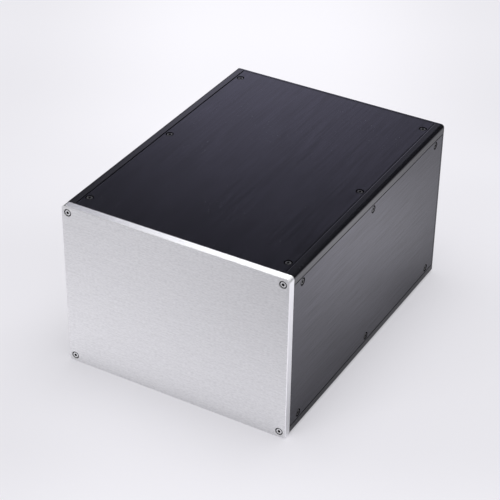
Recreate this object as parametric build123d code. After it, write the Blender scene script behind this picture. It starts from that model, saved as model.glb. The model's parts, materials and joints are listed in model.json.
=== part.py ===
from build123d import *
import os

# Amplifier chassis, in millimetres: a closed aluminium case held together by screws.
# Four extruded corner rails run from front to back. A top, a bottom and two side plates
# are let in flush between them, and a thick front panel and a thin rear panel close the
# ends. Every screw is an M3 with a hexagon socket. The front panel and the plates have
# cap screws, whose heads lie in counterbores. The rear panel is too thin for that, so its
# screws are countersunk.
# X runs across the case, Y from the front to the back, Z up. The origin lies under the
# middle of the case, on the surface that it stands on.

# Whole case
case_width = 236.0
case_height = 174.0
rail_length = 305.0
corner_radius = 3.5

# Front and rear panels
front_thickness = 8.0
rear_thickness = 3.0
front_edge_break = 0.4
rear_edge_break = 0.3
inner_edge_break = 0.2    # round the side of each panel that lies against the rails

# Plates let in between the rails
plate_thickness = 5.0
plate_edge_break = 0.3
joint_gap = 0.3           # between a plate's long edge and the rail beside it
end_gap = 0.15            # between a plate's short edge and the panel in front of it

# Corner rails
rail_face = 9.5           # width of the strip that shows beside each plate
leg_reach = 22.0          # from the outside of the case to the tip of a leg
leg_thickness = 5.0
leg_tip_radius = 1.0
inner_fillet = 2.0
seat_relief_radius = 0.5  # undercut in the corner of each plate's seat
rail_edge_break = 0.4
core_radius = 1.25        # extruded bore that the end screws are tapped into

# Places of the screws
end_screw_inset = 6.6     # from both outer faces that meet at the rail
row_inset = 14.8          # from the outside of the rail to the row of screws in its leg
row_end_offset = 15.75    # from the end of a rail to the first screw of a row
row_count = 3

# Cap screws of the front panel and the plates
thread_radius = 1.5
head_radius = 2.75
head_height = 3.0
head_edge_break = 0.2
head_recess = 0.25        # how far the top of a head lies below the face round it
socket_across = 2.5
socket_depth = 1.3
socket_turn = 23.0        # each screw stops this many degrees further round than the last
front_screw_length = 16.0  # below the head
plate_screw_length = 6.0

# Countersunk screws of the rear panel
sunk_head_radius = 2.85
sunk_head_rim = 0.2       # straight edge above the cone of a head
sunk_head_recess = 0.1
sunk_socket_across = 2.0
sunk_screw_length = 12.0  # with the head

# Holes of the screws
counterbore_radius = 3.9
thread_clearance = 0.03
shank_clearance = 0.2
cone_clearance = 0.02
thread_runout = 3.0       # tapped depth beyond the tip of an end screw
cut_margin = 1.0          # how far a cutting shape stands out of the face that it cuts

# Worked out from the sizes above
case_depth = front_thickness + rail_length + rear_thickness
front_y = -case_depth / 2
rail_front_y = front_y + front_thickness
rail_back_y = rail_front_y + rail_length
rail_middle_y = (rail_front_y + rail_back_y) / 2
leg_inside = plate_thickness + leg_thickness
tapped_radius = thread_radius + thread_clearance
shank_hole_radius = thread_radius + shank_clearance
counterbore_depth = head_recess + head_height
sink_radius = sunk_head_radius + sunk_head_rim + sunk_head_recess + cone_clearance

# Outer faces of the case. In each plane, local Z points out of the case, and on the
# four long faces local Y runs along the rails.
front_face = Plane((0, front_y, case_height / 2), x_dir=(1, 0, 0), z_dir=(0, -1, 0))
rear_face = Plane((0, -front_y, case_height / 2), x_dir=(-1, 0, 0), z_dir=(0, 1, 0))
top_face = Plane((0, rail_middle_y, case_height), x_dir=(1, 0, 0), z_dir=(0, 0, 1))
bottom_face = Plane((0, rail_middle_y, 0), x_dir=(-1, 0, 0), z_dir=(0, 0, -1))
left_face = Plane((-case_width / 2, rail_middle_y, case_height / 2), x_dir=(0, 0, 1), z_dir=(-1, 0, 0))
right_face = Plane((case_width / 2, rail_middle_y, case_height / 2), x_dir=(0, 0, -1), z_dir=(1, 0, 0))


# Solid of revolution round the Z axis, from the corners of its half section
def turned(corners):
    return revolve(Plane.XZ * make_face(Polyline(*corners, close=True)), Axis.Z)


# Hexagon socket, cut down from the origin
def hexagon_socket(across):
    return extrude(RegularPolygon(across / 2, 6, major_radius=False), -socket_depth)


# Cap screw, with its axis along Z and the top of its head at the origin
def cap_screw(length):
    tip = -head_height - length
    screw = turned([
        (0, 0),
        (head_radius - head_edge_break, 0),
        (head_radius, -head_edge_break),
        (head_radius, -head_height),
        (thread_radius, -head_height),
        (thread_radius, tip),
        (0, tip),
    ])
    return screw - hexagon_socket(socket_across)


# Countersunk screw, placed in the same way
def countersunk_screw(length):
    cone_foot = -sunk_head_rim - (sunk_head_radius - thread_radius)
    screw = turned([
        (0, 0),
        (sunk_head_radius, 0),
        (sunk_head_radius, -sunk_head_rim),
        (thread_radius, cone_foot),
        (thread_radius, -length),
        (0, -length),
    ])
    return screw - hexagon_socket(sunk_socket_across)


# Hole through a panel for a cap screw, cut from its outer face at the origin
def counterbored_hole(thickness):
    return turned([
        (0, cut_margin),
        (counterbore_radius, cut_margin),
        (counterbore_radius, -counterbore_depth),
        (shank_hole_radius, -counterbore_depth),
        (shank_hole_radius, -thickness - cut_margin),
        (0, -thickness - cut_margin),
    ])


# Hole through a panel for a countersunk screw
def countersunk_hole(thickness):
    return turned([
        (0, cut_margin),
        (sink_radius, cut_margin),
        (sink_radius, 0),
        (shank_hole_radius, -(sink_radius - shank_hole_radius)),
        (shank_hole_radius, -thickness - cut_margin),
        (0, -thickness - cut_margin),
    ])


# Distances of a row's screws from the middle of the rail
def row_stations():
    span = rail_length - 2 * row_end_offset
    return [span * (i / (row_count - 1) - 0.5) for i in range(row_count)]


# Places of the screws on a long face, for one row or the other
def row_points(face_width, side):
    return [(side * (face_width / 2 - row_inset), station) for station in row_stations()]


# Places of the four screws of an end panel
def corner_points():
    x = case_width / 2 - end_screw_inset
    y = case_height / 2 - end_screw_inset
    return [(-x, -y), (x, -y), (x, y), (-x, y)]


# Copies of a screw driven into a face of the case at the given places
def screw_group(face, points, screw, recess):
    placed = []
    for i, (x, y) in enumerate(points):
        placed.append(face.location * Pos(x, y, -recess) * Rot(0, 0, i * socket_turn) * screw)
    return Compound(placed)


# Front or rear panel, with the same outline as the four rails together
def end_panel(face, thickness, edge_break, hole):
    panel = extrude(RectangleRounded(case_width, case_height, corner_radius), -thickness)
    panel = chamfer(panel.faces().sort_by(Axis.Z)[-1].edges(), edge_break)
    panel = chamfer(panel.faces().sort_by(Axis.Z)[0].edges(), inner_edge_break)
    for x, y in corner_points():
        panel -= Pos(x, y, 0) * hole
    return face.location * panel


# Plate let in between two rails, flush with their outer faces
def inset_plate(face, face_width):
    width = face_width - 2 * (rail_face + joint_gap)
    length = rail_length - 2 * end_gap
    plate = extrude(Rectangle(width, length), -plate_thickness)
    plate = chamfer(plate.faces().sort_by(Axis.Z)[-1].edges(), plate_edge_break)
    for x, y in row_points(face_width, -1) + row_points(face_width, 1):
        plate -= Pos(x, y, 0) * counterbored_hole(plate_thickness)
    return face.location * plate


# Section of the bottom left rail, drawn from the outer corner of the case
def rail_section():
    outline = Polyline(
        (0, 0),
        (rail_face, 0),
        (rail_face, plate_thickness),
        (leg_reach, plate_thickness),
        (leg_reach, leg_inside),
        (leg_inside, leg_inside),
        (leg_inside, leg_reach),
        (plate_thickness, leg_reach),
        (plate_thickness, rail_face),
        (0, rail_face),
        close=True,
    )
    section = make_face(outline)

    def corner(x, y):
        return section.vertices().sort_by_distance((x, y))[0]

    leg_tips = [
        corner(leg_reach, plate_thickness),
        corner(leg_reach, leg_inside),
        corner(plate_thickness, leg_reach),
        corner(leg_inside, leg_reach),
    ]
    section = fillet(leg_tips, leg_tip_radius)
    section = fillet(corner(leg_inside, leg_inside), inner_fillet)
    section = fillet(corner(0, 0), corner_radius)
    section = chamfer([corner(rail_face, 0), corner(0, rail_face)], rail_edge_break)
    section -= Pos(end_screw_inset, end_screw_inset) * Circle(core_radius)
    section -= Pos(rail_face, plate_thickness) * Circle(seat_relief_radius)
    section -= Pos(plate_thickness, rail_face) * Circle(seat_relief_radius)
    return section


# Bottom left rail, in its place in the case
def corner_rail():
    section_plane = Plane((-case_width / 2, rail_front_y, 0), x_dir=(1, 0, 0), z_dir=(0, -1, 0))
    rail = extrude(section_plane * rail_section(), -rail_length)

    bore_x = -case_width / 2 + end_screw_inset
    front_depth = counterbore_depth + front_screw_length - front_thickness + thread_runout
    rear_depth = sunk_head_recess + sunk_screw_length - rear_thickness + thread_runout
    along = (Align.CENTER, Align.CENTER, Align.MIN)
    front_tap = Cylinder(tapped_radius, front_depth + cut_margin, align=along)
    rear_tap = Cylinder(tapped_radius, rear_depth + cut_margin, align=along)
    rail -= Pos(bore_x, rail_front_y - cut_margin, end_screw_inset) * Rot(-90, 0, 0) * front_tap
    rail -= Pos(bore_x, rail_back_y + cut_margin, end_screw_inset) * Rot(90, 0, 0) * rear_tap

    leg_tap = Cylinder(tapped_radius, leg_inside - plate_thickness + 2 * cut_margin, align=along)
    leg_start = plate_thickness - cut_margin
    for station in row_stations():
        y = rail_middle_y + station
        rail -= Pos(-case_width / 2 + row_inset, y, leg_start) * leg_tap
        rail -= Pos(-case_width / 2 + leg_start, y, row_inset) * Rot(0, 90, 0) * leg_tap
    return rail


# The four rails: one is made, and the others are its mirror images
def corner_rails():
    middle_height = Plane.XY.offset(case_height / 2)
    bottom_left = corner_rail()
    top_left = mirror(bottom_left, about=middle_height)
    return {
        "bottom_left_rail": bottom_left,
        "bottom_right_rail": mirror(bottom_left, about=Plane.YZ),
        "top_left_rail": top_left,
        "top_right_rail": mirror(top_left, about=Plane.YZ),
    }


# Every piece of the case, by name
def chassis():
    front_hole = counterbored_hole(front_thickness)
    rear_hole = countersunk_hole(rear_thickness)
    front_screw = cap_screw(front_screw_length)
    rear_screw = countersunk_screw(sunk_screw_length)
    pieces = {
        "front_panel": end_panel(front_face, front_thickness, front_edge_break, front_hole),
        "rear_panel": end_panel(rear_face, rear_thickness, rear_edge_break, rear_hole),
        "front_panel_screws": screw_group(front_face, corner_points(), front_screw, head_recess),
        "rear_panel_screws": screw_group(rear_face, corner_points(), rear_screw, sunk_head_recess),
    }
    pieces.update(corner_rails())

    # Each long face, its width, and the names of its rows on the local -X and +X side
    long_faces = {
        "top_plate": (top_face, case_width, "left", "right"),
        "bottom_plate": (bottom_face, case_width, "right", "left"),
        "left_plate": (left_face, case_height, "lower", "upper"),
        "right_plate": (right_face, case_height, "upper", "lower"),
    }
    plate_screw = cap_screw(plate_screw_length)
    for plate, (face, face_width, minus_row, plus_row) in long_faces.items():
        pieces[plate] = inset_plate(face, face_width)
        for row, side in ((minus_row, -1), (plus_row, 1)):
            points = row_points(face_width, side)
            pieces[f"{plate}_{row}_screws"] = screw_group(face, points, plate_screw, head_recess)
    return pieces


os.makedirs("parts", exist_ok=True)
for name, piece in chassis().items():
    export_step(piece, f"parts/{name}.step")
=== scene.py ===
import json
import math

import bmesh
import bpy
from mathutils import Matrix, Quaternion, Vector


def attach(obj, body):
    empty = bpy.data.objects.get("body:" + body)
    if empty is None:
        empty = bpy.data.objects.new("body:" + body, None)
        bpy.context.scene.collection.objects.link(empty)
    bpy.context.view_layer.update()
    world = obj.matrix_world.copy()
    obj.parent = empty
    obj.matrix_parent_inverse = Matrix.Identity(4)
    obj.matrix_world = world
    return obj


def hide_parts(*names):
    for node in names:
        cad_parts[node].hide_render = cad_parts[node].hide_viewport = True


# Looks of the amplifier chassis: brushed and anodised metal for the case, and a studio round it.
# Every length is in metres, in the frame of the model: X across, Y from front to back, Z up.
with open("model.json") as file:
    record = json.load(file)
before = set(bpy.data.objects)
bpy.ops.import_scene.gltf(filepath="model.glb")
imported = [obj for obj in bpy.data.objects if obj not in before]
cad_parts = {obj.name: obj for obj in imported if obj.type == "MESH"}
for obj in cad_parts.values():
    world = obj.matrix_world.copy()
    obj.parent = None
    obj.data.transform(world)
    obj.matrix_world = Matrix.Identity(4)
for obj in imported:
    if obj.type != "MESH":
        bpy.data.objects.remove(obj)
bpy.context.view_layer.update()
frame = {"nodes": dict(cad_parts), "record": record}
mm = 0.001

# Case, with its sizes as in the model
case_width = 236.0 * mm
case_height = 174.0 * mm
front_y = -158.0 * mm
back_y = 158.0 * mm
rail_middle_y = 2.5 * mm
rail_length = 305.0 * mm
corner_radius = 3.5 * mm
corner_margin = 0.1 * mm
end_screw_inset = 6.6 * mm
row_inset = 14.8 * mm
row_end_offset = 15.75 * mm
row_count = 3

# All screws: the number of sides that their circles have, and their shanks
screw_sides = 36
thread_radius = 1.5 * mm
tip_break = 0.4 * mm

# Cap screws of the front panel and the plates
head_radius = 2.75 * mm
head_height = 3.0 * mm
head_edge_break = 0.2 * mm
head_edge_share = 0.3
head_recess = 0.25 * mm
socket_across = 2.5 * mm
socket_turn = math.radians(23)
front_screw_length = 16.0 * mm
plate_screw_length = 6.0 * mm

# Hexagon sockets: the drilled point below them, and their broken edge, with shares of the distance to a flat
socket_depth = 1.3 * mm
drill_depth = 0.45 * mm
drill_tip_radius = 0.05 * mm
drill_share = 0.92
socket_lip_depths = (0.12 * mm, 0.08 * mm)
socket_lip_shares = (1.16, 1.22)

# Countersunk screws of the rear panel
sunk_head_radius = 2.85 * mm
sunk_head_rim = 0.2 * mm
sunk_head_edge_break = 0.1 * mm
sunk_head_recess = 0.1 * mm
sunk_socket_across = 2.0 * mm
sunk_screw_length = 12.0 * mm

# Kinds of grain: the detail of each one's noise, and the range of that noise that goes from none to full
grain_kinds = {
    "Lines": (3.0, 0.25, 0.75),
    "Streaks": (4.0, 0.3, 0.7),
    "Clouds": (2.0, 0.3, 0.7),
}
ring_kind = (2.0, 0.3, 0.7)
speck_kind = (1.0, 0.72, 0.78)
patch_kind = (2.0, 0.4, 0.6)

# How many features of each kind there are in a metre along X, Y and Z
silver_grain = {"Lines": (330, 950, 950), "Streaks": (40, 900, 900), "Clouds": (9, 30, 30)}
plate_grain = {"Lines": (2600, 40, 2600), "Streaks": (1400, 22, 1400), "Clouds": (14, 6, 14)}
rail_grain = {"Lines": (2800, 3, 2800), "Streaks": (900, 2, 900), "Clouds": (14, 6, 14)}
ring_grain = (6000, 0, 0)
speck_grain = (620, 620, 620)
patch_grain = (25, 25, 25)

# How far a face has to look along the grain to count as an end face, and upwards to hold dust
end_facing = 0.7
up_facing = 0.9

# Depths below the outer faces: where they end, and over which painted shade dims the screw holes and their shine
surface_depth = 0.01 * mm
shine_depths = (0.0, 0.2 * mm)
silver_hole_shade_depths = (0.35 * mm, 1.6 * mm)
black_hole_shade_depths = (0.0, 0.2 * mm)

# Silver metal: its colours, its shine, which differs on end faces and rounded corners, and painted shade in holes
silver_shades = ((0.705, 0.705, 0.715, 1), (0.9, 0.9, 0.91, 1))
silver_line_share = 0.7
silver_streak_share = 0.3
silver_edge_colour = (0.95, 0.95, 0.97, 1)
silver_hole_shade_colour = (0.03, 0.03, 0.033, 1)
silver_roughness = (0.28, 0.31)
silver_anisotropy = 0.93
silver_metallic = 0.88
end_metallic = 0.12
hole_shade_metallic = -0.6
corner_metallic = -0.6
corner_roughness = 0.3
corner_slant = (0.15, 0.45)
bump_strength = 0.12
bump_height = 0.01 * mm

# Black metal: its colours, its clear skin and its usual sheen, and how much the grain changes them
black_shades = ((0.006, 0.006, 0.008, 1), (0.010, 0.010, 0.013, 1))
# Painted shade in the screw holes of the black metal
black_hole_shade_colour = (0.002, 0.002, 0.002, 1)
dust_colour = (0.11, 0.11, 0.12, 1)
dust_share = 0.5
skin_index = 1.6
middle_sheen = 0.5
cloud_contrast = 0.03
black_roughness_spread = 0.015

# Screw metal: the shade of its rings, painted shade in sockets and on sides, and the spread of its roughness
ring_shade = 0.85
screw_shade_colour = (0.004, 0.004, 0.004, 1)
screw_roughness_spread = 0.03

# How far the softened inner edges of the rails lie from the sides of the case, where they begin and end
soft_edge = (8.4 * mm, 9.1 * mm)

# Where the rear panel's edge begins, and how much of the black metal's sheen it has
rear_edge = (back_y - 3.1 * mm, back_y - 2.9 * mm)
rear_sheen = 0.62

# Camera, fitted to the edges of the case in the photograph
camera_azimuth = math.radians(29.45)
camera_elevation = math.radians(33.48)
camera_roll = math.radians(0.85)
camera_distance = 1619.9 * mm
camera_lens = 119.7
camera_sensor = 36.0
camera_aim = Vector((0, 3.95 * mm, 86.9 * mm))
camera_aside = -11.09 * mm
camera_above = -11.52 * mm

# Studio lamps: name, width, length, place, aim and power
lamps = [
    ("overhead_lamp", 1.3, 1.3, Vector((0.1, 0.1, 2.1)), Vector((0, 0, 0)), 24.0),
    ("front_lamp", 1.2, 1.0, Vector((-0.5, -1.9, 1.5)), Vector((0, -0.1, 0)), 12.0),
]
fill_level = 0.32

# What the metal mirrors: pale walls, a dark stretch above them, and a bright light overhead.
# Each ramp has two parts of a direction, and the shares there. A rise is a direction's height over its reach.
wall_colour = (1.08, 1.06, 1.32, 1)
wall_left = (-0.62, -0.47, 0, 1)
wall_right = (-0.48, -0.24, 1, 0)
wall_tops = (0.61, 0.69, 0, 1)
wall_slope = 0.4
wall_slope_shift = 0.42
front_wall_left = (0.66, 0.66, 0.67, 1)
front_wall_right = (0.06, 0.06, 0.06, 1)
front_wall_change = (-0.50, -0.36, 0, 1)
front_wall_end = (-0.3, 0.2, 1, 0)
front_ceiling = (0.42, 0.42, 0.43, 1)
front_ceiling_end = (-0.4, -0.2, 1, 0)
dark_colour = (0.01, 0.01, 0.011, 1)
light_colour = (4.2, 4.2, 4.2, 1)
light_rise = (0.9, 1.1, 0, 1)
light_left = (-0.496, -0.427, 0, 1)
light_front = (0.0, 0.15, 0, 1)
light_back = (0.58, 0.66, 1, 0)

# Floor of pale paper with painted light: a glow of its own, shaped as a pool of studio light.
# Each ramp has two places, in metres, and the light or the share of it there.
# Behind is measured away from the camera along the floor, and aside to either side of that line.
floor_size = 40.0
floor_drop = 0.1 * mm
floor_colour = (0.47, 0.465, 0.49, 1)
glow_colour = (1.0, 0.99, 1.04, 1)
glow_level = 0.398
glow_middle = (0.06, 0.33, 0.12, 0)
glow_middle_start = (0.15, 0.40, 0, 1)
glow_front = (-0.32, -0.20, 0.05, 0)
glow_slant = 0.2
glow_rise = (0.04, 0.24, 0, 0.068)
glow_fall = (0.22, 0.36, 0, -0.035)
glow_return = (0.45, 0.66, 0, 0.035)
glow_left = (-0.24, -0.11, -0.038, 0)
glow_left_end = (-0.12, 0.02, 1, 0)
glow_behind = (0.10, 0.35, 0, 0.072)
backdrop_colour = (0.86, 0.855, 0.90, 1)

# The share of that painted light that reflections see, with a painted shadow near the case.
# Beside the case: close by, further out, rearwards and far away
beside_close = (0.05, 0.12, 0.22, 0.10)
beside_reach = (0.10, 0.225)
beside_share = 1.31
beside_rearward = (-0.06, 0.19, 0.78, 1.5)
beside_rear_end = (0.17, 0.42, 1.0, 0.30)
beside_far = (0.228, 0.25, 1.0, 1.12)
beside_far_end = (0.32, 0.5, 1.0, 0.05)

# The same share in front of the case: far from it, close to it, and from left to right
front_far = (-0.18, 0.03, 0.56, 0.06)
front_reach = (-0.42, -0.20)
front_share = 1.46
front_left = (-0.25, 0.12, 1.1, 0.9)
front_side = (0.09, 0.15)
front_right_share = 1.3
front_floor_end = (-0.18, -0.13, 1, 0)


# Node trees
def fill_inputs(tree, node, inputs):
    """Sets a node's inputs, by name or number, to values or to links from other nodes."""
    for name, value in inputs.items():
        if isinstance(value, bpy.types.NodeSocket):
            tree.links.new(value, node.inputs[name])
        else:
            node.inputs[name].default_value = value


def add(tree, kind, inputs=None, **settings):
    """Adds a shader node of a kind, with its settings and its inputs."""
    node = tree.nodes.new("ShaderNode" + kind)
    for name, value in settings.items():
        setattr(node, name, value)
    fill_inputs(tree, node, inputs or {})
    return node


def sum_of(tree, operation, first, *others):
    """The result of a sum on one value, or on several, one after the other."""
    result = first
    for other in others or (0.0,):
        result = add(tree, "Math", {0: result, 1: other}, operation=operation).outputs[0]
    return result


def vector_of(tree, operation, first, second):
    """The result of a sum on two vectors."""
    return add(tree, "VectorMath", {0: first, 1: second}, operation=operation).outputs[0]


def carried(tree, value, old_low, old_high, new_low, new_high):
    """A value carried smoothly from one range to another, and held at its ends."""
    inputs = {"Value": value, "From Min": old_low, "From Max": old_high, "To Min": new_low, "To Max": new_high}
    return add(tree, "MapRange", inputs, interpolation_type="SMOOTHSTEP").outputs["Result"]


def between(tree, share, first, second):
    """A colour between two others."""
    node = add(tree, "Mix", {"Factor": share}, data_type="RGBA")
    fill_inputs(tree, node, {6: first, 7: second})
    return node.outputs[2]


def start_group(name, inputs, outputs):
    """A node group with named sockets, with its input and output nodes."""
    group = bpy.data.node_groups.new(name, "ShaderNodeTree")
    for socket, kind in inputs.items():
        group.interface.new_socket(socket, in_out="INPUT", socket_type="NodeSocket" + kind)
    for socket, kind in outputs.items():
        group.interface.new_socket(socket, in_out="OUTPUT", socket_type="NodeSocket" + kind)
    return group, group.nodes.new("NodeGroupInput").outputs, group.nodes.new("NodeGroupOutput")


def place_group(tree, group, inputs):
    """Places a node group in a tree, and gives its outputs."""
    node = tree.nodes.new("ShaderNodeGroup")
    node.node_tree = group
    fill_inputs(tree, node, inputs)
    return node.outputs


def noise(tree, place, stretch, detail, low, high):
    """Noise with so many features per metre along each axis, as a share of its range from low to high."""
    stretched = vector_of(tree, "MULTIPLY", place, stretch)
    level = add(tree, "TexNoise", {"Vector": stretched, "Scale": 1.0, "Detail": detail}).outputs[0]
    return carried(tree, level, low, high, 0.0, 1.0)


# Shared effects
def make_brushed_grain():
    """Scratches of a brushing belt: fine lines, broader streaks, and the faint clouds between them."""
    group, given, result = start_group(
        "brushed_grain",
        {"Place": "Vector", **dict.fromkeys(grain_kinds, "Vector")},
        dict.fromkeys(grain_kinds, "Float"),
    )
    for kind, settings in grain_kinds.items():
        fill_inputs(group, result, {kind: noise(group, given["Place"], given[kind], *settings)})
    return group


brushed_grain = make_brushed_grain()


# Materials
def start_material(name):
    """A new material with nothing in it but the object's own coordinates."""
    material = bpy.data.materials.new(name)
    material.use_nodes = True
    tree = material.node_tree
    tree.nodes.clear()
    place = add(tree, "TexCoord").outputs["Object"]
    return material, tree, place


def finish_material(tree, shader):
    """Joins a shader to the material's output."""
    tree.links.new(shader, add(tree, "OutputMaterial").inputs["Surface"])


def across_grain(tree, grain):
    """The direction on the surface that lies across the grain, which runs upwards where it meets a face end on.

    Also gives one on those faces, and zero elsewhere.
    """
    normal = add(tree, "NewGeometry").outputs["Normal"]
    along = vector_of(tree, "MULTIPLY", normal, grain)
    facing = add(tree, "VectorMath", {0: along}, operation="LENGTH").outputs["Value"]
    end_on = sum_of(tree, "GREATER_THAN", facing, end_facing)
    direction = add(tree, "Mix", {"Factor": end_on, 4: grain, 5: (0, 0, 1)}, data_type="VECTOR").outputs[1]
    return vector_of(tree, "CROSS_PRODUCT", normal, direction), end_on


def slanting(tree):
    """How far a face leans both to the side and up or down: the lesser of those two parts of its normal."""
    x, _, z = add(tree, "SeparateXYZ", {0: add(tree, "NewGeometry").outputs["True Normal"]}).outputs
    return sum_of(tree, "MINIMUM", sum_of(tree, "ABSOLUTE", x), sum_of(tree, "ABSOLUTE", z))


def leaning_normal(tree, x, z, lean):
    """The normal of the rails, which leans towards the plates along their softened inner edges."""
    normal = add(tree, "NewGeometry").outputs["Normal"]
    height = sum_of(tree, "SUBTRACT", z, case_height / 2)
    leans = []
    for place, half in ((x, case_width / 2), (height, case_height / 2)):
        from_middle = sum_of(tree, "ABSOLUTE", place)
        share = carried(tree, from_middle, half - soft_edge[1], half - soft_edge[0], lean, 0)
        leans.append(sum_of(tree, "MULTIPLY", sum_of(tree, "SIGN", place), -1.0, share))
    leaning = add(tree, "CombineXYZ", {0: leans[0], 2: leans[1]}).outputs[0]
    along = add(tree, "VectorMath", {0: leaning, 1: normal}, operation="DOT_PRODUCT").outputs["Value"]
    outwards = add(tree, "VectorMath", {0: normal, "Scale": along}, operation="SCALE").outputs[0]
    leaning = vector_of(tree, "ADD", normal, vector_of(tree, "SUBTRACT", leaning, outwards))
    return add(tree, "VectorMath", {0: leaning}, operation="NORMALIZE").outputs[0]


def make_depths():
    """The depth below the outer faces of the case, in metres, as in its screw holes."""
    group, given, result = start_group("depths", {"Place": "Vector"}, {"Depth": "Float"})
    x, y, z = add(group, "SeparateXYZ", {0: given["Place"]}).outputs
    middle = case_height / 2
    from_side = sum_of(group, "SUBTRACT", case_width / 2, sum_of(group, "ABSOLUTE", x))
    from_end = sum_of(group, "SUBTRACT", back_y, sum_of(group, "ABSOLUTE", y))
    from_top = sum_of(group, "SUBTRACT", middle, sum_of(group, "ABSOLUTE", sum_of(group, "SUBTRACT", z, middle)))
    depth = sum_of(group, "MINIMUM", from_side, from_end, from_top)
    past_corner = sum_of(group, "MAXIMUM", from_side, from_top)
    past_corner = sum_of(group, "GREATER_THAN", past_corner, corner_radius + corner_margin)
    fill_inputs(group, result, {"Depth": sum_of(group, "MULTIPLY", past_corner, depth)})
    return group


def make_dust():
    """Sparse small specks, as of dust that has settled on a dark face."""
    group, given, result = start_group("dust", {"Place": "Vector"}, {"Specks": "Float"})
    specks = noise(group, given["Place"], speck_grain, *speck_kind)
    patches = noise(group, given["Place"], patch_grain, *patch_kind)
    fill_inputs(group, result, {"Specks": sum_of(group, "MULTIPLY", specks, patches)})
    return group


depths = make_depths()
dust = make_dust()


def silver_brushed_panel():
    """Clear anodised aluminium, brushed from side to side, with painted shade inside its screw holes."""
    material, tree, place = start_material("silver_brushed_panel")
    grain = place_group(tree, brushed_grain, {"Place": place, **silver_grain})
    depth = place_group(tree, depths, {"Place": place})["Depth"]
    tangent, end_on = across_grain(tree, (1, 0, 0))
    on_surface = sum_of(tree, "LESS_THAN", depth, surface_depth)
    on_corner = sum_of(tree, "MULTIPLY", on_surface, carried(tree, slanting(tree), *corner_slant, 0, 1))
    tone = sum_of(
        tree, "ADD",
        sum_of(tree, "MULTIPLY", grain["Lines"], silver_line_share),
        sum_of(tree, "MULTIPLY", grain["Streaks"], silver_streak_share),
    )
    colour = between(tree, tone, *silver_shades)
    colour = between(tree, sum_of(tree, "MAXIMUM", end_on, on_corner), colour, silver_edge_colour)
    # Painted shade: the screw holes turn dark with depth below the face
    colour = between(tree, carried(tree, depth, *silver_hole_shade_depths, 0, 1), colour, silver_hole_shade_colour)
    roughness = sum_of(
        tree, "ADD",
        carried(tree, grain["Streaks"], 0.0, 1.0, *silver_roughness),
        sum_of(tree, "MULTIPLY", on_corner, corner_roughness),
    )
    metallic = sum_of(
        tree, "ADD", silver_metallic,
        sum_of(tree, "MULTIPLY", end_on, end_metallic),
        # Painted shade: the screw holes lose their metal shine
        sum_of(tree, "MULTIPLY", carried(tree, depth, *shine_depths, 0, 1), hole_shade_metallic),
        sum_of(tree, "MULTIPLY", on_corner, corner_metallic),
    )
    bump = add(tree, "Bump", {"Strength": bump_strength, "Distance": bump_height, "Height": grain["Lines"]})
    shader = add(tree, "BsdfPrincipled", {
        "Base Color": colour,
        "Metallic": metallic,
        "Roughness": roughness,
        "Anisotropic": silver_anisotropy,
        "Tangent": tangent,
        "Normal": bump.outputs[0],
    })
    finish_material(tree, shader.outputs[0])
    return material


def black_anodised(name, pattern, contrast, tint, level, roughness, anisotropy, lean):
    """Black dye under a clear hard skin, with its grain along the case or upwards on its ends, and a little dust.

    The pattern is its grain, the contrast is how much that changes its sheen, and the lean is of its inner edges.
    Its screw holes take painted shade.
    """
    material, tree, place = start_material(name)
    tangent, end_on = across_grain(tree, (0, 1, 0))
    x, y, z = add(tree, "SeparateXYZ", {0: place}).outputs
    upright = add(tree, "CombineXYZ", {0: x, 1: z, 2: y}).outputs[0]
    along = add(tree, "Mix", {"Factor": end_on, 4: place, 5: upright}, data_type="VECTOR").outputs[1]
    grain = place_group(tree, brushed_grain, {"Place": along, **pattern})
    depth = place_group(tree, depths, {"Place": place})["Depth"]
    # Painted shade: the screw holes turn black and lose their sheen with depth
    hole_shade = carried(tree, depth, *black_hole_shade_depths, 0, 1)
    normal = add(tree, "NewGeometry").outputs["True Normal"]
    upwards = add(tree, "SeparateXYZ", {0: normal}).outputs[2]
    specks = sum_of(
        tree, "MULTIPLY",
        place_group(tree, dust, {"Place": place})["Specks"],
        sum_of(tree, "GREATER_THAN", upwards, up_facing),
        dust_share,
    )
    colour = between(tree, grain["Lines"], *black_shades)
    colour = between(tree, specks, colour, dust_colour)
    colour = between(tree, hole_shade, colour, black_hole_shade_colour)
    grained = sum_of(
        tree, "ADD",
        sum_of(tree, "MULTIPLY", grain["Streaks"], contrast),
        middle_sheen - contrast / 2,
        sum_of(tree, "MULTIPLY", sum_of(tree, "SUBTRACT", grain["Clouds"], 0.5), cloud_contrast),
    )
    sheen = sum_of(
        tree, "MULTIPLY",
        grained,
        carried(tree, y, *rear_edge, 1.0, rear_sheen),
        level,
        sum_of(tree, "SUBTRACT", 1.0, hole_shade),
    )
    spread = black_roughness_spread
    shader = add(tree, "BsdfPrincipled", {
        "Base Color": colour,
        "IOR": skin_index,
        "Specular IOR Level": sheen,
        "Specular Tint": tint,
        "Roughness": carried(tree, grain["Streaks"], 0.0, 1.0, roughness - spread, roughness + spread),
        "Anisotropic": anisotropy,
        "Tangent": tangent,
    })
    if lean:
        tree.links.new(leaning_normal(tree, x, z, lean), shader.inputs["Normal"])
    finish_material(tree, shader.outputs[0])
    return material


def measure(tree, name, output="Fac"):
    """What the mesh of the screws says of itself under a name."""
    return add(tree, "Attribute", attribute_name=name).outputs[output]


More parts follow.
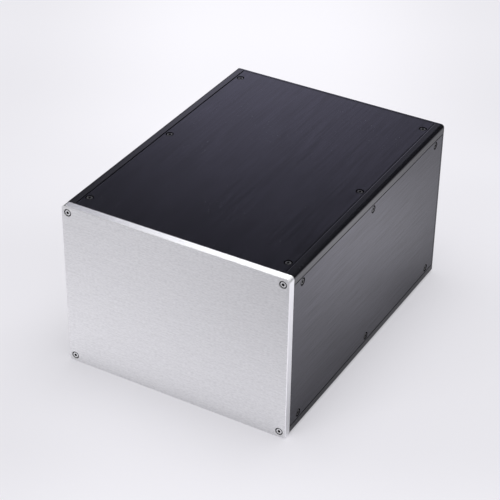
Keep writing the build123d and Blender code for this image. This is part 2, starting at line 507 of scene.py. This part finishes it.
def screw_metal(name, colour, roughness, anisotropy, turned, socket_shade, side_shade):
    """Steel, turned or else pressed with its grain outwards, with painted shade in its sockets and on its sides.
    """
    material, tree, _ = start_material(name)
    outward = measure(tree, "outward", "Vector")
    from_axis = add(tree, "CombineXYZ", {0: measure(tree, "from_axis")}).outputs[0]
    rings = noise(tree, from_axis, ring_grain, *ring_kind)
    shade = between(tree, rings, tuple(ring_shade * part for part in colour) + (1,), tuple(colour) + (1,))
    # Painted shade: the socket and the head's side, down in the hole, turn dark
    dark = sum_of(
        tree, "MAXIMUM",
        sum_of(tree, "MULTIPLY", measure(tree, "socket_shading"), socket_shade),
        sum_of(tree, "MULTIPLY", measure(tree, "side_shading"), side_shade),
    )
    shade = between(tree, dark, shade, screw_shade_colour)
    normal = add(tree, "NewGeometry").outputs["Normal"]
    spread = screw_roughness_spread
    shader = add(tree, "BsdfPrincipled", {
        "Base Color": shade,
        "Metallic": 1.0,
        "Roughness": carried(tree, rings, 0.0, 1.0, roughness - spread, roughness + spread),
        "Anisotropic": anisotropy,
        "Tangent": outward if turned else vector_of(tree, "CROSS_PRODUCT", normal, outward),
    })
    finish_material(tree, shader.outputs[0])
    return material


# Screws
def edges_of(corners):
    """The edges that meet at some corners, each once, and in the same order in every run."""
    return list(dict.fromkeys(edge for corner in corners for edge in corner.link_edges))


def add_ring(shape, radius, height, hexagon):
    """A closed ring of edges round the axis: a circle, or a hexagon of that distance to its flats."""
    corners = bmesh.ops.create_circle(shape, segments=screw_sides, radius=radius)["verts"]
    for corner in corners:
        if hexagon:
            turn = math.atan2(corner.co.y, corner.co.x) % math.radians(60) - math.radians(30)
            corner.co /= math.cos(turn)
        corner.co.z = height
    return edges_of(corners)


def socket_rings(across):
    """The rings of a hexagon socket, from its drilled bottom to its broken edge.

    Each is a radius, a height, whether it is a hexagon, and its painted shade in the socket and on the head's
    side.
    """
    to_flat = across / 2
    return [
        (drill_tip_radius, -socket_depth - drill_depth, False, 1, 0),
        (to_flat * drill_share, -socket_depth, False, 1, 0),
        (to_flat, -socket_depth, True, 1, 0),
        (to_flat, -socket_lip_depths[0], True, 1, 0),
        (to_flat, -socket_lip_depths[1], True, 1, 0),
        (to_flat * socket_lip_shares[0], 0, False, 0.5, 0),
        (to_flat * socket_lip_shares[1], 0, False, 0, 0),
    ]


def shank_rings(neck, tip):
    """The rings of a shank, from under the head to the tip."""
    return [
        (thread_radius, neck, False, 0, 1),
        (thread_radius, tip + tip_break, False, 0, 1),
        (thread_radius - tip_break, tip, False, 0, 1),
    ]


def cap_rings(length):
    """The rings of a cap screw of that length under its head."""
    edge_middle = head_edge_break * head_edge_share
    return socket_rings(socket_across) + [
        (head_radius - head_edge_break, 0, False, 0, 0),
        (head_radius - edge_middle, -edge_middle, False, 0, 0.8),
        (head_radius, -head_edge_break, False, 0, 1),
        (head_radius, -head_height, False, 0, 1),
    ] + shank_rings(-head_height, -head_height - length)


def countersunk_rings(length):
    """The rings of a countersunk screw of that length with its head."""
    cone_foot = -sunk_head_rim - (sunk_head_radius - thread_radius)
    return socket_rings(sunk_socket_across) + [
        (sunk_head_radius - sunk_head_edge_break, 0, False, 0, 0),
        (sunk_head_radius, -sunk_head_edge_break, False, 0, 0.5),
        (sunk_head_radius, -sunk_head_rim, False, 0, 1),
    ] + shank_rings(cone_foot, -length)


def add_screw(shape, rings, placing):
    """One screw, with its axis along Z and the top of its head at the origin before it is placed."""
    outward = shape.verts.layers.float_vector["outward"]
    from_axis = shape.verts.layers.float["from_axis"]
    socket_shading = shape.verts.layers.float["socket_shading"]
    side_shading = shape.verts.layers.float["side_shading"]
    before = set(shape.verts)
    last = None
    for radius, height, hexagon, socket_share, side_share in rings:
        ring = add_ring(shape, radius, height, hexagon)
        for corner in {corner for edge in ring for corner in edge.verts}:
            corner[from_axis] = radius
            corner[socket_shading] = socket_share
            corner[side_shading] = side_share
        if last:
            bmesh.ops.bridge_loops(shape, edges=last + ring)
        last = ring
    made = [corner for corner in shape.verts if corner not in before]
    bmesh.ops.holes_fill(shape, edges=edges_of(made), sides=0)
    for corner in made:
        flat = Vector((corner.co.x, corner.co.y, 0)).normalized()
        corner[outward] = placing.to_3x3() @ flat
    bmesh.ops.transform(shape, matrix=placing, verts=made)


def face_placing(origin, across, out):
    """The place of a face of the case: its middle, its local X, and the direction that it faces."""
    across, out = Vector(across), Vector(out)
    turned = Matrix((across, out.cross(across), out)).transposed().to_4x4()
    return Matrix.Translation(Vector(origin)) @ turned


def screw_groups():
    """Each node of screws, with its face, the places of its screws, their rings, and the recess of their heads."""
    middle = case_height / 2
    x, y = case_width / 2 - end_screw_inset, middle - end_screw_inset
    corners = [(-x, -y), (x, -y), (x, y), (-x, y)]
    front_face = face_placing((0, front_y, middle), (1, 0, 0), (0, -1, 0))
    rear_face = face_placing((0, back_y, middle), (-1, 0, 0), (0, 1, 0))
    yield "front_panel_screws", front_face, corners, cap_rings(front_screw_length), head_recess
    yield "rear_panel_screws", rear_face, corners, countersunk_rings(sunk_screw_length), sunk_head_recess
    side = case_width / 2
    plates = {
        "top_plate": (
            face_placing((0, rail_middle_y, case_height), (1, 0, 0), (0, 0, 1)), side, "left", "right"),
        "bottom_plate": (
            face_placing((0, rail_middle_y, 0), (-1, 0, 0), (0, 0, -1)), side, "right", "left"),
        "left_plate": (
            face_placing((-side, rail_middle_y, middle), (0, 0, 1), (-1, 0, 0)), middle, "lower", "upper"),
        "right_plate": (
            face_placing((side, rail_middle_y, middle), (0, 0, -1), (1, 0, 0)), middle, "upper", "lower"),
    }
    span = rail_length - 2 * row_end_offset
    for plate, (face, half, minus_row, plus_row) in plates.items():
        for row, sign in ((minus_row, -1), (plus_row, 1)):
            points = [(sign * (half - row_inset), span * (i / (row_count - 1) - 0.5)) for i in range(row_count)]
            yield f"{plate}_{row}_screws", face, points, cap_rings(plate_screw_length), head_recess


def make_screws(finishes):
    """Finely shaped screws in the places of the model's screws."""
    slots = {part["node"]: part["material_slot"] for part in frame["record"]["subparts"]}
    for node, face, points, rings, recess in screw_groups():
        shape = bmesh.new()
        shape.verts.layers.float_vector.new("outward")
        shape.verts.layers.float.new("from_axis")
        shape.verts.layers.float.new("socket_shading")
        shape.verts.layers.float.new("side_shading")
        for i, (x, y) in enumerate(points):
            turn = Matrix.Rotation(i * socket_turn, 4, "Z")
            add_screw(shape, rings, face @ Matrix.Translation(Vector((x, y, -recess))) @ turn)
        bmesh.ops.recalc_face_normals(shape, faces=shape.faces)
        mesh = bpy.data.meshes.new(f"fine_{node}")
        shape.to_mesh(mesh)
        shape.free()
        mesh.materials.append(finishes[slots[node]])
        piece = bpy.data.objects.new(f"fine_{node}", mesh)
        bpy.context.scene.collection.objects.link(piece)
        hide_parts(node)
        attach(piece, "root")


def make_finishes():
    """The finish of each material slot."""
    return {
        "silver_panel": silver_brushed_panel(),
        "black_plate": black_anodised(
            "black_brushed_plate", plate_grain, contrast=0.36, tint=(0.77, 0.745, 1.0, 1), level=1.06,
            roughness=0.19, anisotropy=0.8, lean=0.0,
        ),
        "black_rail": black_anodised(
            "black_rail_extrusion", rail_grain, contrast=0.09, tint=(0.93, 0.92, 1.0, 1), level=0.85,
            roughness=0.18, anisotropy=0.3, lean=0.22,
        ),
        "stainless_screw": screw_metal(
            "stainless_screw", (0.86, 0.86, 0.87), roughness=0.30, anisotropy=0.85, turned=True,
            socket_shade=1.0, side_shade=0.0,
        ),
        "black_screw": screw_metal(
            "black_screw", (0.10, 0.10, 0.105), roughness=0.30, anisotropy=0.6, turned=False,
            socket_shade=0.8, side_shade=1.0,
        ),
    }


def dress_case(finishes):
    """Gives each node of the model the finish of its material slot."""
    for part in frame["record"]["subparts"]:
        node = frame["nodes"][part["node"]]
        node.data.materials.clear()
        node.data.materials.append(finishes[part["material_slot"]])


# Studio
def reflected_glow_share(tree, place):
    """The share of the floor's painted glow that reflections see: a painted shadow beside the case, and less far
    in front of it.
    """
    x, y, _ = add(tree, "SeparateXYZ", {0: place}).outputs
    aside = sum_of(tree, "ABSOLUTE", x)
    close = carried(tree, sum_of(tree, "ABSOLUTE", y), *beside_close)
    beside = sum_of(
        tree, "MULTIPLY",
        carried(tree, aside, *beside_reach, close, beside_share),
        carried(tree, y, *beside_rearward),
        carried(tree, y, *beside_rear_end),
        carried(tree, x, *beside_far),
        carried(tree, x, *beside_far_end),
    )
    in_front = sum_of(
        tree, "MULTIPLY",
        carried(tree, y, *front_reach, carried(tree, x, *front_far), front_share),
        carried(tree, x, *front_side, carried(tree, x, *front_left), front_right_share),
    )
    return add(tree, "Mix", {"Factor": carried(tree, y, *front_floor_end), 2: beside, 3: in_front}).outputs[0]


def floor_paper():
    """Pale matt paper with painted light: a glow of its own, a little stronger at the back and at the front."""
    material, tree, place = start_material("floor_paper")
    across = (math.cos(camera_azimuth), math.sin(camera_azimuth), 0)
    away = (-math.sin(camera_azimuth), math.cos(camera_azimuth), 0)
    aside = add(tree, "VectorMath", {0: place, 1: across}, operation="DOT_PRODUCT").outputs["Value"]
    behind = add(tree, "VectorMath", {0: place, 1: away}, operation="DOT_PRODUCT").outputs["Value"]
    middle = carried(tree, sum_of(tree, "ABSOLUTE", aside), *glow_middle)
    glow = sum_of(
        tree, "ADD", glow_level,
        sum_of(tree, "MULTIPLY", middle, carried(tree, behind, *glow_middle_start)),
        carried(tree, behind, *glow_front),
    )
    slant = sum_of(tree, "MULTIPLY", aside, glow_slant)
    seen = sum_of(
        tree, "ADD", glow,
        carried(tree, sum_of(tree, "ADD", behind, slant), *glow_rise),
        carried(tree, sum_of(tree, "SUBTRACT", behind, slant), *glow_fall),
        carried(tree, behind, *glow_return),
        sum_of(tree, "MULTIPLY", carried(tree, aside, *glow_left), carried(tree, behind, *glow_left_end)),
    )
    # Painted reflection: reflections see more glow behind the case and a painted shadow beside it
    mirrored = sum_of(tree, "ADD", glow, carried(tree, behind, *glow_behind))
    mirrored = sum_of(tree, "MULTIPLY", mirrored, reflected_glow_share(tree, place))
    is_mirrored = add(tree, "LightPath").outputs["Is Glossy Ray"]
    glow = add(tree, "Mix", {"Factor": is_mirrored, 2: seen, 3: mirrored}).outputs[0]
    paper = add(tree, "BsdfDiffuse", {"Color": floor_colour})
    # Painted light: the paper glows as a pool of studio light, though it is no lamp
    light = add(tree, "Emission", {"Color": glow_colour, "Strength": glow})
    both = add(tree, "AddShader", {0: paper.outputs[0], 1: light.outputs[0]})
    finish_material(tree, both.outputs[0])
    return material


def make_floor():
    """A large flat sheet just under the case."""
    mesh = bpy.data.meshes.new("floor")
    shape = bmesh.new()
    bmesh.ops.create_grid(shape, x_segments=1, y_segments=1, size=floor_size / 2)
    bmesh.ops.translate(shape, vec=(0, 0, -floor_drop), verts=shape.verts)
    shape.to_mesh(mesh)
    shape.free()
    mesh.materials.append(floor_paper())
    floor = bpy.data.objects.new("floor", mesh)
    bpy.context.scene.collection.objects.link(floor)


def make_lamps():
    """The lamps, which light the case but aren't mirrored in it."""
    for name, width, length, place, aim, power in lamps:
        light = bpy.data.lights.new(name, "AREA")
        light.shape = "RECTANGLE"
        light.size = width
        light.size_y = length
        light.energy = power
        lamp = bpy.data.objects.new(name, light)
        lamp.location = place
        lamp.rotation_euler = (aim - place).to_track_quat("-Z", "Y").to_euler()
        lamp.visible_glossy = False
        bpy.context.scene.collection.objects.link(lamp)


def mirrored_room(tree):
    """The colour of the room in each direction, as the metal mirrors it."""
    direction = add(tree, "TexCoord").outputs["Generated"]
    x, y, z = add(tree, "SeparateXYZ", {0: direction}).outputs
    reach = sum_of(tree, "MAXIMUM", sum_of(tree, "ABSOLUTE", x), sum_of(tree, "ABSOLUTE", y))
    rise = sum_of(tree, "DIVIDE", z, reach)
    wall = sum_of(tree, "MULTIPLY", carried(tree, x, *wall_left), carried(tree, x, *wall_right))
    back = between(tree, wall, dark_colour, wall_colour)
    front = between(tree, carried(tree, x, *front_wall_change), front_wall_left, front_wall_right)
    walls = between(tree, carried(tree, y, *front_wall_end), back, front)
    slope = sum_of(tree, "MULTIPLY", sum_of(tree, "ADD", x, wall_slope_shift), wall_slope)
    ceiling = between(tree, carried(tree, y, *front_ceiling_end), dark_colour, front_ceiling)
    room = between(tree, carried(tree, sum_of(tree, "ADD", rise, slope), *wall_tops), walls, ceiling)
    overhead = sum_of(
        tree, "MULTIPLY",
        carried(tree, rise, *light_rise),
        carried(tree, x, *light_left),
        carried(tree, y, *light_back),
        carried(tree, y, *light_front),
    )
    return between(tree, overhead, room, light_colour)


def make_world():
    """The room for what mirrors it, an even fill for the rest, and a plain backdrop for the camera."""
    world = bpy.data.worlds.new("studio")
    bpy.context.scene.world = world
    world.use_nodes = True
    tree = world.node_tree
    tree.nodes.clear()
    path = add(tree, "LightPath").outputs
    fill = add(tree, "Background", {"Color": (1, 1, 1, 1), "Strength": fill_level})
    room = add(tree, "Background", {"Color": mirrored_room(tree), "Strength": 1.0})
    backdrop = add(tree, "Background", {"Color": backdrop_colour, "Strength": 1.0})
    lit = add(tree, "MixShader", {0: path["Is Glossy Ray"], 1: fill.outputs[0], 2: room.outputs[0]})
    shown = add(tree, "MixShader", {0: path["Is Camera Ray"], 1: lit.outputs[0], 2: backdrop.outputs[0]})
    tree.links.new(shown.outputs[0], add(tree, "OutputWorld").inputs["Surface"])


def make_camera():
    """The camera, at the photograph's angle."""
    flat = math.cos(camera_elevation)
    back = Vector((
        math.sin(camera_azimuth) * flat,
        -math.cos(camera_azimuth) * flat,
        math.sin(camera_elevation),
    ))
    turn = (-back).to_track_quat("-Z", "Y")
    right = turn @ Vector((1, 0, 0))
    up = turn @ Vector((0, 1, 0))
    camera = bpy.data.objects.new("camera", bpy.data.cameras.new("camera"))
    camera.data.lens = camera_lens
    camera.data.sensor_width = camera_sensor
    camera.rotation_mode = "QUATERNION"
    camera.rotation_quaternion = turn @ Quaternion((0, 0, 1), camera_roll)
    camera.location = camera_aim + camera_aside * right + camera_above * up + camera_distance * back
    bpy.context.scene.collection.objects.link(camera)
    bpy.context.scene.camera = camera


finishes = make_finishes()
dress_case(finishes)
make_screws(finishes)
make_floor()
make_lamps()
make_world()
make_camera()
bpy.context.scene.view_settings.view_transform = "Standard"
